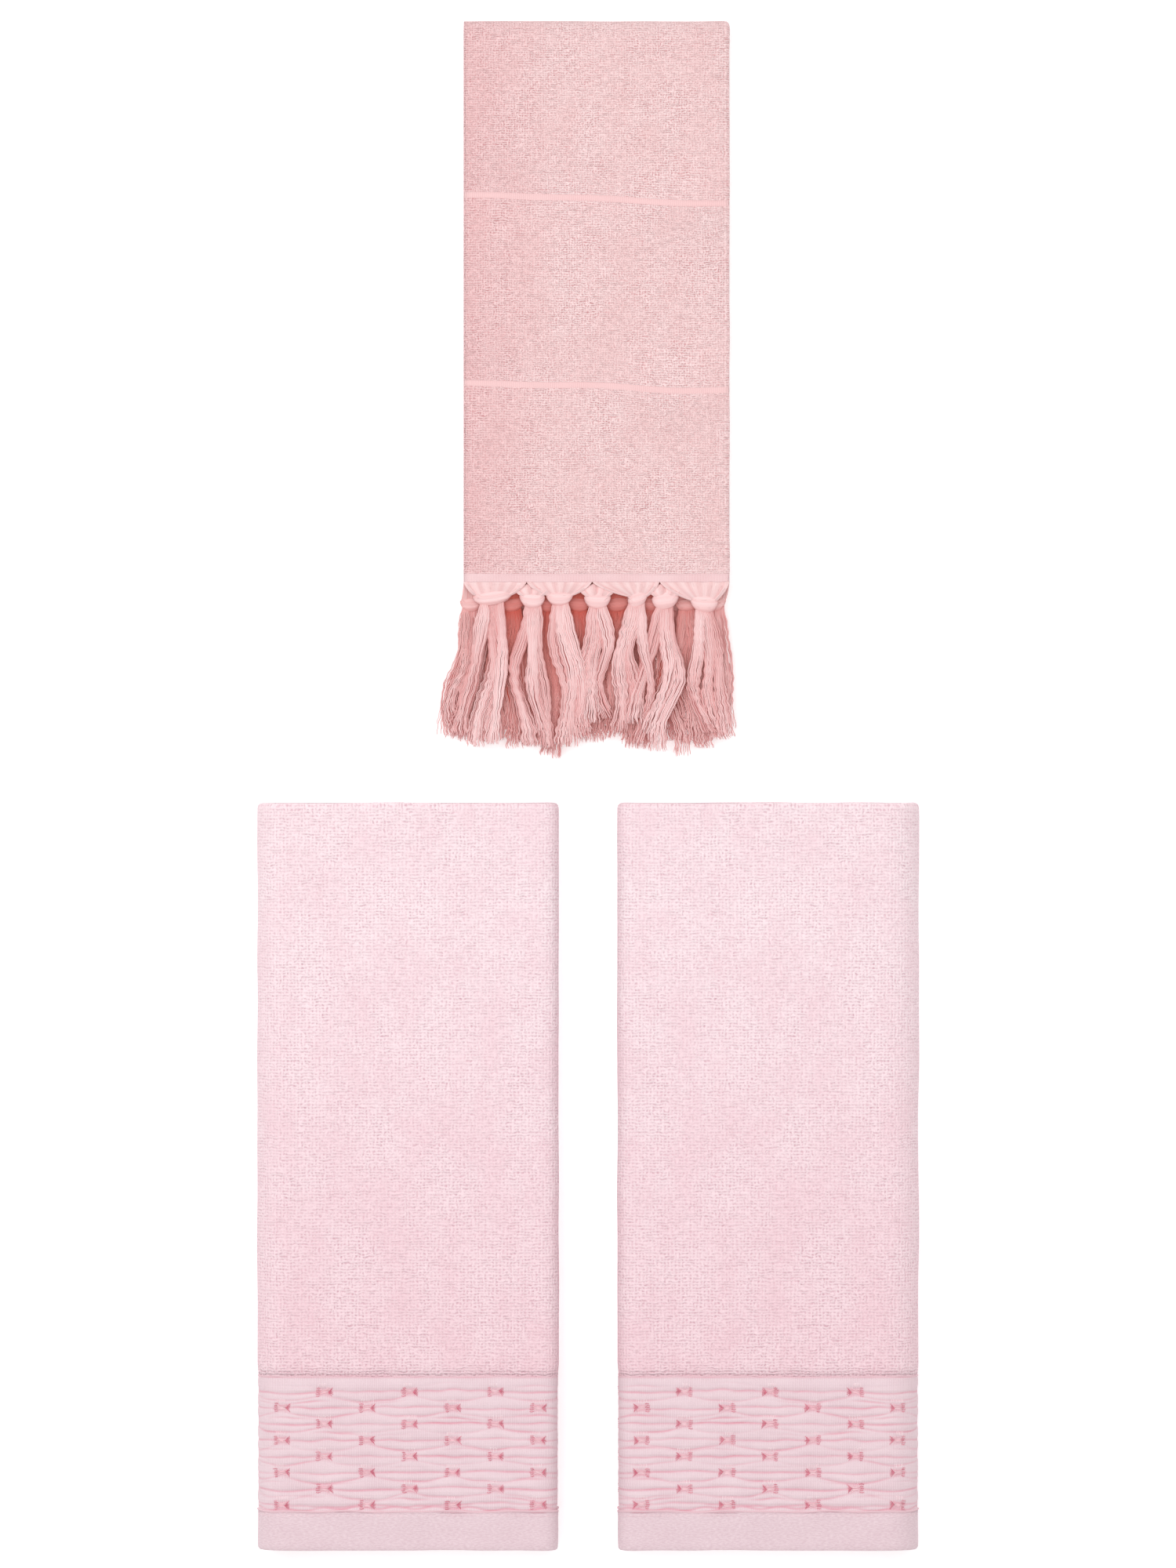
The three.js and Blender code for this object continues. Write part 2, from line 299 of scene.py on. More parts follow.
# ---------------------------------------------------------------- materials
class Nodes:
    """A material's node tree, with short ways to add the nodes that the cloths share."""

    def __init__(self, name, roughness, sheen, sheen_tint):
        self.material = bpy.data.materials.new(name)
        self.material.use_nodes = True
        self.tree = self.material.node_tree
        self.shader = self.tree.nodes["Principled BSDF"]
        self.set({"Roughness": roughness, "Specular IOR Level": 0.2, "Sheen Weight": sheen,
                  "Sheen Roughness": 0.6, "Sheen Tint": sheen_tint})

    def set(self, values):
        for key, value in values.items():
            self.shader.inputs[key].default_value = value

    def add(self, kind, inputs=None, **settings):
        node = self.tree.nodes.new(kind)
        for key, value in settings.items():
            setattr(node, key, value)
        for key, value in (inputs or {}).items():
            self.put(node.inputs[key], value)
        return node

    def put(self, socket, value):
        if isinstance(value, bpy.types.NodeSocket):
            self.tree.links.new(value, socket)
        else:
            socket.default_value = value

    def math(self, operation, a, b=0.0, c=0.0):
        return self.add("ShaderNodeMath", {0: a, 1: b, 2: c}, operation=operation).outputs[0]

    def ramp(self, value, low, high, to_low=0.0, to_high=1.0):
        inputs = {"Value": value, "From Min": low, "From Max": high, "To Min": to_low, "To Max": to_high}
        return self.add("ShaderNodeMapRange", inputs).outputs[0]

    def mix(self, amount, a, b, blend="MIX"):
        node = self.add("ShaderNodeMix", data_type="RGBA", blend_type=blend)
        self.put(node.inputs["Factor"], amount)
        self.put(node.inputs["A"], a)
        self.put(node.inputs["B"], b)
        return node.outputs["Result"]

    def attribute(self, name):
        return self.add("ShaderNodeAttribute", attribute_name=name).outputs["Fac"]

    def weave(self, pitch_across, pitch_along, turn=0.0):
        """Flat coordinates of the cloth, one unit for each thread or loop."""
        uv = self.add("ShaderNodeUVMap", uv_map="Weave").outputs[0]
        scale = (1 / (pitch_across * MM), 1 / (pitch_along * MM), 1.0)
        inputs = {"Vector": uv, "Scale": scale, "Rotation": (0, 0, turn)}
        return self.add("ShaderNodeMapping", inputs, vector_type="POINT").outputs[0]

    def noise(self, vector, scale=1.0, detail=2.0, roughness=0.5):
        inputs = {"Vector": vector, "Scale": scale, "Detail": detail, "Roughness": roughness}
        return self.add("ShaderNodeTexNoise", inputs).outputs["Fac"]

    def patches(self, across, along, low=0.0, high=1.0):
        """Broad, soft patches of about that size, from low to high."""
        return self.ramp(self.noise(self.weave(across, along)), 0.3, 0.7, low, high)

    def bump(self, height, distance_mm, strength):
        inputs = {"Height": height, "Distance": distance_mm * MM, "Strength": strength}
        return self.add("ShaderNodeBump", inputs).outputs[0]

    def finish(self, colour, normal=None):
        self.put(self.shader.inputs["Base Color"], colour)
        if normal is not None:
            self.put(self.shader.inputs["Normal"], normal)
        return self.material


def terry_material(name, pitch, loop_colour, gap_shade_colour, patch_colour, tone_colour, grid, wander, gap_range):
    """Looped pile: rows of loops that wander and clump, darkened with painted shade where the ground shows
    between them. grid says how plainly the rows show across and along, and how much the loops clump.
    tone_colour shades one end of the cloth's face."""
    n = Nodes(name, 0.95, 0.2, (1, 0.93, 0.94, 1))
    cells = n.weave(*pitch)
    wobble = n.add("ShaderNodeTexNoise", {"Vector": cells, "Scale": 0.45, "Detail": 2.0}).outputs["Color"]
    shifted = n.add("ShaderNodeVectorMath", {0: wobble, 1: (0.5, 0.5, 0.5)}, operation="SUBTRACT").outputs[0]
    scaled = n.add("ShaderNodeVectorMath", {0: shifted, "Scale": wander}, operation="SCALE").outputs[0]
    placed = n.add("ShaderNodeVectorMath", {0: cells, 1: scaled}, operation="ADD").outputs[0]
    parts = n.add("ShaderNodeSeparateXYZ", {0: placed})
    rows = [n.math("COSINE", n.math("MULTIPLY", parts.outputs[axis], 2 * math.pi)) for axis in ("X", "Y")]
    clumps = n.math("SUBTRACT", n.noise(placed, 1.4, 2.0, 0.6), 0.5)
    lean = n.patches(3.2, 4.0)  # which way the rows show
    height = n.math("MULTIPLY_ADD", rows[0], n.math("MULTIPLY", lean, grid[0]), 0.5)
    upright = n.math("MULTIPLY", n.math("SUBTRACT", 1.25, lean), grid[1])
    height = n.math("MULTIPLY_ADD", rows[1], upright, height)
    height = n.math("MULTIPLY_ADD", clumps, grid[2], height)
    fibres = n.noise(cells, 3.5, 3.0, 0.6)
    # painted shade: the gaps between the loops are darkened towards the gap colour
    gap = n.ramp(height, *gap_range, 1.0, 0.0)
    strength = n.patches(11.0, 14.0, 0.6, 1.0)
    base = n.mix(n.math("MULTIPLY", gap, strength), loop_colour, gap_shade_colour)
    patches = n.noise(n.weave(26.0, 44.0), 1.0, 3.0, 0.6)
    base = n.mix(n.ramp(patches, 0.4, 0.66, 0.0, 0.5), base, patch_colour)
    base = n.mix(n.attribute("tone"), base, tone_colour, "MULTIPLY")
    relief = n.math("MULTIPLY_ADD", fibres, 0.35, height)
    return n.finish(base, n.bump(relief, 1.0, 0.75))


def rib_material(name, pitch, light, dark, bump_mm, relief=None, crease_shade=None):
    """Flat cloth with fine ribs along it. relief names the value by which the creases fade to the last
    colour, a painted crease shade.
    """
    n = Nodes(name, 0.85, 0.15, (1, 0.94, 0.95, 1))
    threads = n.weave(pitch, pitch * 1.6)
    parts = n.add("ShaderNodeSeparateXYZ", {0: threads})
    drift = n.math("MULTIPLY", n.noise(n.weave(14.0, 9.0)), 1.2)
    turn = n.math("MULTIPLY", n.math("ADD", parts.outputs["X"], drift), 2 * math.pi)
    wave = n.ramp(n.math("SINE", turn), -1.0, 1.0)
    cross = n.math("SINE", n.math("MULTIPLY", parts.outputs["Y"], 2 * math.pi))
    grain = n.noise(threads, 1.3, 2.0, 0.6)
    strength = n.patches(22.0, 12.0, 0.12, 0.85)
    colour = n.mix(n.math("MULTIPLY", n.math("SUBTRACT", 1.0, wave), strength), light, dark)
    if relief:
        # painted shade in the creases and round the motifs, where relief is low
        amount = n.ramp(n.attribute(relief), 0.0, 0.85, 1.0, 0.0)
        amount = n.math("MULTIPLY", amount, n.ramp(n.noise(n.weave(18.0, 6.0)), 0.25, 0.7, 0.35, 1.0))
        colour = n.mix(amount, colour, crease_shade)
    height = n.math("ADD", wave, n.math("MULTIPLY", cross, 0.18))
    height = n.math("ADD", height, n.math("MULTIPLY", grain, 0.6))
    return n.finish(colour, n.bump(height, bump_mm, 0.8))


def twill_material(name, light, dark):
    """Plain hem cloth with short slanting floats."""
    n = Nodes(name, 0.85, 0.15, (1, 0.95, 0.96, 1))
    slanted = n.weave(2.9, 0.8, math.radians(-10))
    floats = n.noise(slanted, 1.3, 2.0, 0.55)
    thread = n.noise(n.weave(0.7, 0.5), 1.0, 1.0)
    amount = n.math("ADD", n.ramp(floats, 0.35, 0.65), n.patches(30.0, 14.0, -0.1, 0.2))
    colour = n.mix(n.math("MULTIPLY", amount, 0.8), light, dark)
    height = n.math("ADD", floats, n.math("MULTIPLY", thread, 0.35))
    return n.finish(colour, n.bump(height, 0.32, 0.6))


def yarn_material(name, light, dark, painted_shade):
    """Yarn. tone, from 0 to 1, varies from yarn to yarn and also carries painted shade, and depth mixes
    in a painted red shade for what lies low in the pile.
    """
    n = Nodes(name, 0.8, 0.3, (1, 0.9, 0.9, 1))
    colour = n.mix(n.attribute("tone"), light, dark)
    colour = n.mix(n.attribute("depth"), colour, painted_shade)
    n.set({"Emission Color": (1.0, 0.3, 0.2, 1), "Emission Strength": 0.035})  # a painted warm glow of the yarn, which reddens its shade
    fibres = n.noise(n.add("ShaderNodeTexCoord").outputs["Object"], 2500.0, 2.0, 0.6)
    return n.finish(colour, n.bump(fibres, 0.25, 0.5))


def thread_material(name, pale, middle, dark):
    """Thin sewn threads, from pale to dark by their tone."""
    n = Nodes(name, 0.6, 0.2, (1, 0.9, 0.92, 1))
    tone = n.attribute("tone")
    colour = n.mix(n.ramp(tone, 0.0, 0.5), pale, middle)
    colour = n.mix(n.ramp(tone, 0.5, 1.0), colour, dark)
    fibres = n.noise(n.add("ShaderNodeTexCoord").outputs["Object"], 3000.0, 2.0, 0.6)
    return n.finish(colour, n.bump(fibres, 0.15, 0.4))


# the second colour of each terry is the painted shade between its loops
PALE_TERRY = terry_material("pale_terry_pile", PILE_PITCH["pale"], srgb(253, 232, 237), srgb(219, 174, 186),
                            srgb(247, 213, 221), srgb(250, 240, 242), (0.22, 0.22, 1.1),
                            1.25, (0.1, 0.52))
# the last colour is the painted shade in the border's creases
PALE_BORDER = rib_material("pale_border_ribs", 1.05, srgb(237, 213, 219), srgb(221, 190, 198), 0.2,
                           "relief", srgb(226, 148, 166))
PALE_HEM = twill_material("pale_hem_twill", srgb(232, 209, 215), srgb(216, 188, 196))
PALE_RIB = rib_material("pale_rib_cord", 1.3, srgb(238, 208, 214), srgb(218, 172, 183), 0.15)
# the darkest thread colour is partly painted shadow where stitches sink into the cloth
STITCH = thread_material("motif_thread", srgb(249, 232, 235), srgb(243, 172, 186), srgb(212, 106, 128))
# its second colour is the painted shade between its loops
PINK_TERRY = terry_material("pink_terry_pile", PILE_PITCH["pink"], srgb(255, 225, 225), srgb(211, 146, 149),
                            srgb(246, 203, 203), srgb(250, 238, 239), (0.2, 0.27, 1.4),
                            1.5, (0.12, 0.6))
PINK_BAND = rib_material("pink_band_ribs", 1.2, srgb(242, 203, 203), srgb(230, 187, 188), 0.14)
PINK_HEADER = rib_material("pink_header_ribs", 0.9, srgb(243, 209, 211), srgb(231, 184, 187), 0.18)
YARN_LIGHT = srgb(247, 216, 216)
# the dark colour serves both yarn-to-yarn tone and painted shade; the red one is painted shade deep in the
# fringe
YARN = yarn_material("fringe_yarn_plied", YARN_LIGHT, srgb(220, 154, 155), srgb(200, 82, 66))


# ---------------------------------------------------------------- bath towels
class BathTowel:
    """Carries flat points of a bath towel through its folds. t runs across the cloth from the book
    fold, above 0 in the front half and below 0 in the back half. s runs along the cloth from the hem."""

    def __init__(self, side):
        self.side = side
        low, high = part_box(f"{side}_front_middle_ply")
        cover_low, cover_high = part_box(f"{side}_front_terry_field")
        hem_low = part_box(f"{side}_front_hem")[0]
        self.toward = 1 if side == "left" else -1
        self.spine_x = (cover_low.x if side == "left" else cover_high.x) / MM
        self.width = (cover_high.x - cover_low.x) / MM
        self.middle_z = cover_low.z / MM - HALF_GAP
        self.bottom_y = hem_low.y / MM
        self.book = cover_high.z / MM - self.middle_z - HALF_GAP
        self.turn = self.book / 2
        self.turn_u = self.width - self.turn
        self.arc = self.book * math.pi / 2
        self.flat = self.turn_u - self.book
        self.flap = self.turn_u - (self.book + FLAP_SHORT)
        self.reach = self.arc + self.flat + math.pi * self.turn + self.flap
        self.stack = Stack((high.y - low.y) / MM, BATH_PITCH, BATH_PLY)
        self.total = self.stack.total

    def across(self, t):
        """The stack's outer line at t: place, and the way inwards, as u from the book fold and v up."""
        s, sign = np.abs(t), np.sign(t)
        a = np.clip(s / self.book, 0, math.pi / 2)
        b = np.clip(s - self.arc, 0, self.flat)
        c = np.clip((s - self.arc - self.flat) / self.turn, 0, math.pi)
        d = np.clip(s - self.arc - self.flat - math.pi * self.turn, 0, None)
        u = self.book * (1 - np.cos(a)) + b + self.turn * np.sin(c) - d
        v = HALF_GAP + self.book * np.sin(a) - self.turn * (1 - np.cos(c))
        turned = c > 0
        in_u = np.where(turned, -np.sin(c), np.cos(a))
        in_v = np.where(turned, -np.cos(c), -np.sin(a))
        return u, v * sign, in_u, in_v * sign

    def place(self, t, s, lift, ply=BATH_PLY, recess=0.0):
        """World points, in millimetres, lift above the cloth's middle surface on its face side."""
        t, s = np.broadcast_arrays(np.asarray(t, float), np.asarray(s, float))
        u, v, in_u, in_v = self.across(t)
        y, depth, out_y, out_depth = self.stack.at(s, recess + ply / 2)
        y = y + lift * out_y
        depth = depth + lift * out_depth
        sign = np.where(t >= 0, 1.0, -1.0)
        v = (v + in_v * depth) * sign
        v = np.maximum(v, fold_clearance(depth, 3 * BATH_PITCH)) * sign
        u = u + in_u * depth
        return np.stack([self.spine_x + self.toward * u, self.bottom_y + y, self.middle_z + v], -1)

    def columns(self, front_step, other_step):
        """Places across the cloth, closer together on the front cover, with none on the book fold."""
        cover_end = self.arc + self.flat
        fold_end = cover_end + math.pi * self.turn

        def half(cover_step):
            return joined(spaced(NEAR_FOLD, self.arc, SIDE_STEP), spaced(self.arc, cover_end, cover_step),
                          spaced(cover_end, fold_end, SIDE_STEP), spaced(fold_end, self.reach, other_step))

        return np.concatenate([-half(other_step)[::-1], half(front_step)])


def thinned(rows, ends, amount=0.5, reach=1.6):
    """The cloth's thickness factor at each row, thinner where the cloth is turned at its ends."""
    factor = np.ones_like(rows)
    for end in ends:
        near = np.clip(np.abs(rows - end) / reach, 0, 1)
        factor = np.minimum(factor, 1 - amount * (1 - near) ** 2)
    return factor


def motif_centres(towel):
    """Each motif's place across and up the cloth. Every second row is set half a pitch over."""
    phase = MOTIF_PHASE[towel.side]
    for row in range(MOTIF_ROWS):
        shift = 0.5 * MOTIF_PITCH if row % 2 == 0 else 0.0
        first = math.ceil((-towel.reach + 6 - phase - shift) / MOTIF_PITCH)
        last = math.floor((towel.reach - 6 - phase - shift) / MOTIF_PITCH)
        for i in range(first, last + 1):
            yield phase + shift + i * MOTIF_PITCH, MOTIF_TOP - row * MOTIF_ROW_PITCH


def border_creases(towel, t):
    """Every crease's height up the cloth at t, and how deep it is pressed there. From each motif one
    crease runs level to the next, one sags between them, and one may arch up for part of the way."""
    rng = np.random.default_rng(5)
    phase = MOTIF_PHASE[towel.side]
    spans = 48
    seam = HEM_HEIGHT + 2.3 + 0.8 * soft_noise(t, 0 * t, 55, 21.0, 5)
    ups = [np.full(t.shape, HEM_HEIGHT), np.full(t.shape, HEM_HEIGHT + BORDER_HEIGHT), seam]
    depths = [np.full(t.shape, 0.8), np.full(t.shape, 0.8), np.full(t.shape, 0.95)]
    for row in range(MOTIF_ROWS):
        shift = 0.5 * MOTIF_PITCH if row % 2 == 0 else 0.0
        place = (t - phase - shift) / MOTIF_PITCH
        span = np.floor(place).astype(int) + spans // 2
        part = place - np.floor(place)
        arch = np.sin(math.pi * part) ** 0.75
        near = 0.35 + 0.65 * np.clip(arch * 1.6, 0, 1)
        for start, bow_low, bow_high, least, partial in CREASE_KINDS:
            bow = rng.uniform(bow_low, bow_high, spans)[span]
            strength = rng.uniform(least, 1.0, spans)[span]
            centre = rng.uniform(0.2, 0.8, spans)[span]
            window = np.exp(-(((part - centre) / 0.3) ** 2))
            wander = 0.45 * soft_noise(t, 0 * t, rng.integers(1, 9999), 17.0, 5)
            up = MOTIF_TOP - row * MOTIF_ROW_PITCH + start + bow * arch + wander * arch
            ups.append(np.clip(up, HEM_HEIGHT, HEM_HEIGHT + BORDER_HEIGHT))
            depths.append(strength * near * (1 - partial * (1 - window)))
    return ups, depths


def border_relief(towel, t, y):
    """Height of the puffs over the border's face, and how clear of a crease or a motif each point is,
    which sets how much painted shade it gets.
    """
    height, clear = np.ones(t.shape), np.ones(t.shape)
    for up, depth in zip(*border_creases(towel, t)):
        away = np.abs(y - up)
        groove = 0.45 * np.exp(-((away / 0.7) ** 2)) + 0.5 * np.exp(-((away / 2.1) ** 2))
        height = height * (1 - depth * groove)
        clear = clear * (1 - 0.95 * depth * np.exp(-((away / 0.62) ** 2)))
    for centre, up in motif_centres(towel):
        near = np.exp(-(((t - centre) / 5.0) ** 4) - (((y - up) / 2.7) ** 2))
        height = height * (1 - 0.8 * near)
        clear = clear * (1 - 0.6 * near)
    cover = np.abs(t) - towel.arc  # pressed flat round the folds at the towel's sides
    flat = smooth_step((cover + 18) / 24) * smooth_step((towel.flat - cover + 12) / 18)
    flat = np.maximum(flat, smooth_step((cover - towel.flat - 24) / 20))
    on_table = smooth_step((cover + 6) / 8) * (1 - smooth_step((cover - towel.flat) / 8)) * (t < 0)
    flat = flat * (1 - UNDER_PRESS * on_table)
    return PUFF_HEIGHT * height * (0.3 * (1 - 0.8 * on_table) + 0.7 * flat), clear


def bath_sheet(towel, part, t, s, face, back, material, values=None):
    return sheet_object(f"{towel.side}_{part}", face, back, np.stack([t, s], -1), [material], values)


def bath_cloth(towel):
    """The terry cloth from the border round both end folds to the border at its other end."""
    border_high = HEM_HEIGHT + BORDER_HEIGHT
    stack = towel.stack
    end = stack.marks[-1] + stack.straight + stack.end_turn - border_high
    rows = stack.places(border_high, end, 7.0, 26.0)
    t, s = np.meshgrid(towel.columns(4.0, 7.0), rows, indexing="ij")
    swell = 0.22 * soft_noise(t, s, 7 if towel.side == "left" else 8, 55.0)
    thick = thinned(rows, (border_high, end))[None, :]
    face = towel.place(t, s, thick * BATH_PLY / 2 + swell)
    back = towel.place(t, s, -thick * BATH_PLY / 2)
    tone = {"tone": np.clip(1 - (s - border_high) / 260.0, 0, 1)}
    return bath_sheet(towel, "terry_cloth", t, s, face, back, PALE_TERRY, tone)


def bath_border(towel):
    """The puckered border on the outer ply."""
    rows = spaced(HEM_HEIGHT - 0.4, HEM_HEIGHT + BORDER_HEIGHT + 0.4, 0.6)
    t, s = np.meshgrid(towel.columns(1.2, 3.2), rows, indexing="ij")
    height, share = border_relief(towel, t, s)
    face = towel.place(t, s, BORDER_PLY / 2 + height, BORDER_PLY, BORDER_RECESS)
    back = towel.place(t, s, -BORDER_PLY / 2 + 0.4 * height, BORDER_PLY, BORDER_RECESS)
    return bath_sheet(towel, "puckered_border", t, s, face, back, PALE_BORDER, {"relief": share})


def bath_far_border(towel):
    """The same border at the cloth's other end, which lies in the innermost ply."""
    rows = spaced(towel.total - HEM_HEIGHT - BORDER_HEIGHT, towel.total, 5.0)
    t, s = np.meshgrid(towel.columns(6.0, 7.0), rows, indexing="ij")
    thick = thinned(rows, (rows[-1],))[None, :] * BORDER_PLY / 2
    face = towel.place(t, s, thick, BATH_PLY)
    back = towel.place(t, s, -thick, BATH_PLY)
    return bath_sheet(towel, "inner_border", t, s, face, back, PALE_BORDER, {"relief": np.ones(t.shape)})


def bath_hem(towel):
    """The turned hem: two layers of plain cloth with a rounded lower edge."""
    rows = joined(np.array([0.0, 0.25, 0.7, 1.4]), spaced(1.4, HEM_HEIGHT + 0.3, 3.2))
    t, s = np.meshgrid(towel.columns(4.0, 6.0), rows, indexing="ij")
    thick = thinned(rows, (0.0,), 0.75)[None, :] * HEM_PLY / 2
    swell = 0.16 * soft_noise(t, s, 19, 26.0)
    wander = 0.25 * soft_noise(t, 0 * t, 21, 40.0) * (s < 0.1)
    face = towel.place(t, s + wander, thick + swell, HEM_PLY, HEM_RECESS)
    back = towel.place(t, s + wander, -thick, HEM_PLY, HEM_RECESS)
    return bath_sheet(towel, "hem", t, s, face, back, PALE_HEM)


def bath_ribs(towel):
    """The corded lines along both edges of the border."""
    t = towel.columns(2.0, 4.0)
    made = []
    for name, up, width, lift in (("upper_rib", HEM_HEIGHT + BORDER_HEIGHT, 0.75, 0.75),
                                  ("lower_rib", HEM_HEIGHT + 0.6, 1.0, 0.9)):
        line = up + 0.4 * soft_noise(t, 0 * t, 5 + len(name) + int(up), 20.0, 5)
        path = towel.place(t, line, lift, BORDER_PLY, BORDER_RECESS)[None]
        group = {"paths": path, "radius": width, "sides": 8, "flatten": 0.62, "reference": (0, 1, 0)}
        made.append(tubes_object(f"{towel.side}_{name}", [group], [PALE_RIB]))
    return made


def stitches_object(towel, part, threads, radius, tones, ground, ply, recess):
    """Threads, each given as places across and up the cloth and a lift over its ground."""
    x, y, lift = (np.array([thread[i] for thread in threads]) for i in range(3))
    paths = towel.place(x, y, ground(x, y) + lift, ply, recess)
    group = {"paths": paths, "radius": radius, "values": {"tone": tones}}
    return tubes_object(f"{towel.side}_{part}", [group], [STITCH])


def bath_motifs(towel):
    """Bow-tie stitches: pale threads over the middle, a ladder of short dark stitches at the left end, a
    fan of darker ones at the right end, and a row of whitish upright stitches above. The dark ones are
    partly a darker thread and partly painted shadow where the stitches sink into the cloth."""
    rng = np.random.default_rng(11)
    threads, tones = [], []
    step = np.linspace(-1, 1, 6)

    def add(x, y, lift, low, high):
        threads.append((x, y, lift))
        tones.append(rng.uniform(low, high))

    for centre, up in motif_centres(towel):
        if abs(centre) < SPINE_CLEAR:
            continue
        lean = rng.uniform(-0.3, 0.3)
        for k in np.linspace(-1, 1, 7):
            x = centre + step * 3.0 + rng.uniform(-0.2, 0.2)
            y = up + k * (0.9 + 1.3 * step**2) + lean * step + rng.uniform(-0.1, 0.1)
            add(x, y, 0.3 - 0.3 * step**2, 0.18, 0.38)
        for k in np.linspace(-1, 1, 5):  # the ladder
            reach = rng.uniform(0.7, 1.4)
            x = centre - 3.3 + rng.uniform(-0.5, 0.3) + step * reach
            y = up + 2.3 * k - lean + 0.16 * np.sin(step * 4 + k) + rng.uniform(-0.15, 0.15)
            add(x, y, 0.42 - 0.35 * step**2, 0.6, 0.95)
        hub_x, hub_y = centre + 2.1 + rng.uniform(-0.4, 0.4), up + rng.uniform(-0.7, 0.7)
        for k in np.linspace(-1, 1, 6):  # the fan
            share = (step + 1) / 2
            x = hub_x + share * (2.4 + rng.uniform(-0.4, 0.5))
            y = hub_y + share * (up + 2.4 * k - hub_y) + 0.12 * np.sin(step * 5 + k)
            add(x, y, 0.5 - 0.4 * share, 0.7, 1.0)
        for k in range(rng.integers(5, 9)):  # upright stitches
            x = centre - 2.9 + 0.95 * k + rng.uniform(-0.1, 0.1) + 0 * step
            y = up + 3.9 + 1.15 * step + rng.uniform(-0.2, 0.2)
            add(x, y, 0.1 - 0.25 * step**2, 0.0, 0.1)

    def ground(x, y):
        return BORDER_PLY / 2 + border_relief(towel, x, y)[0]

    tones = np.array(tones)
    return stitches_object(towel, "motif_stitches", threads, 0.22, tones, ground, BORDER_PLY, BORDER_RECESS)


def bath_hem_stitches(towel):
    """A line of running stitches that holds the hem."""
    pitch, reach, up = 3.4, 1.25, HEM_HEIGHT - 1.9
    step = np.linspace(-1, 1, 6)
    starts = np.arange(-towel.reach + 3, towel.reach - 3, pitch)
    starts = starts[np.abs(starts) > 2 * reach]
    wander = 0.2 * soft_noise(starts, 0 * starts, 77, 30.0)
    threads = [(c + reach * step, up + w + 0 * step, 0.2 - 0.45 * step**2) for c, w in zip(starts, wander)]
    tones = np.full(len(threads), 0.12)

    def ground(x, y):
        return HEM_PLY / 2

    return stitches_object(towel, "hem_stitches", threads, 0.17, tones, ground, HEM_PLY, HEM_RECESS)


def build_bath_towel(side):
    towel = BathTowel(side)
    cloth = bath_cloth(towel)
    border = bath_border(towel)
    far_border = bath_far_border(towel)
    hem = bath_hem(towel)
    upper_rib, lower_rib = bath_ribs(towel)
    motifs = bath_motifs(towel)
    hem_stitches = bath_hem_stitches(towel)
    slots = {cloth: "pale_terry", border: "pale_border", far_border: "pale_border", hem: "pale_hem",
             upper_rib: "pale_border", lower_rib: "pale_border",
             motifs: "stitch_thread", hem_stitches: "stitch_thread"}
    for piece, name in slots.items():
        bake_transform(piece)
    halves = ("back", "front")
    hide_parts(*[f"{side}_{h}_{part}" for h in halves
                         for part in ("terry_field", "middle_ply", "inner_ply")])
    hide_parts(*[f"{side}_{h}_puckered_border" for h in halves])
    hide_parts(*[f"{side}_{h}_inner_border_end" for h in halves])
    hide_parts(*[f"{side}_{h}_hem" for h in halves])


# ---------------------------------------------------------------- hand towel
class HandTowel:
    """Carries flat points of the hand towel through its folds. s runs across the cloth from its left
    edge, through a Z of three plies. t runs along it from the half fold, above 0 in the upper half."""

    def __init__(self):
        low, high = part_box("fringed_upper_terry_top")
        header_low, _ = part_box("fringed_upper_header")
        self.left = low.x / MM
        self.width = (high.x - low.x) / MM
        self.middle_z = low.z / MM - HALF_GAP
        self.top_y = high.y / MM
        self.header_y = header_low.y / MM + FAN_HEIGHT
        self.bend = high.z / MM - self.middle_z - HALF_GAP
        self.arc = self.bend * math.pi / 2
        self.reach = self.arc + self.top_y - self.bend - self.header_y
        self.start = self.arc - self.bend  # what the half fold adds to a distance measured down the face
        self.stack = Stack(self.width, HAND_PITCH, HAND_PLY)
        self.total = self.stack.total

    def along(self, t):
        s, sign = np.abs(t), np.sign(t)
        a = np.clip(s / self.bend, 0, math.pi / 2)
        b = np.clip(s - self.arc, 0, None)
        y = self.top_y - self.bend * (1 - np.cos(a)) - b
        z = HALF_GAP + self.bend * np.sin(a)
        return y, z, -np.cos(a), -np.sin(a), sign

    def place(self, t, s, lift):
        t, s = np.broadcast_arrays(np.asarray(t, float), np.asarray(s, float))
        y, z, in_y, in_z, sign = self.along(t)
        x, depth, out_x, out_depth = self.stack.at(s, HAND_PLY / 2)
        x = x + lift * out_x
        depth = depth + lift * out_depth
        z = np.maximum(z + in_z * depth, fold_clearance(depth, 3 * HAND_PITCH))
        return np.stack([self.left + x, y + in_y * depth, self.middle_z + sign * z], -1)


TERRY, BAND, HEADER = range(3)  # the zones of the hand towel, in the order of its materials
ROW_STEPS = {TERRY: 5.0, BAND: 0.6, HEADER: 0.9}
BESIDE = 0.4  # the first row in from each end of a run of terry


def hand_rows(towel):
    """The rows of points along the cloth, and the zone between each row and the next."""
    marks, zones = [NEAR_FOLD, towel.arc], [TERRY, TERRY]
    for centre in BAND_FROM_FOLD:
        marks += [towel.start + centre - BAND_WIDTH / 2, towel.start + centre + BAND_WIDTH / 2]
        zones += [BAND, TERRY]
    marks += [towel.reach - HEADER_HEIGHT, towel.reach]
    zones.append(HEADER)
    rows, row_zones = [np.array([NEAR_FOLD])], []
    for low, high, zone in zip(marks, marks[1:], zones):
        run = spaced(low, high, ROW_STEPS[zone])
        if zone == TERRY:
            inner = spaced(low + BESIDE, high - BESIDE, ROW_STEPS[zone])
            run = joined(np.array([low]), inner, np.array([high]))
        rows.append(run[1:])
        row_zones += [zone] * (len(run) - 1)
    upper = np.concatenate(rows)
    upper_zones = np.array(row_zones)
    zones = np.concatenate([upper_zones[::-1], [TERRY], upper_zones])
    return np.concatenate([-upper[::-1], upper]), zones


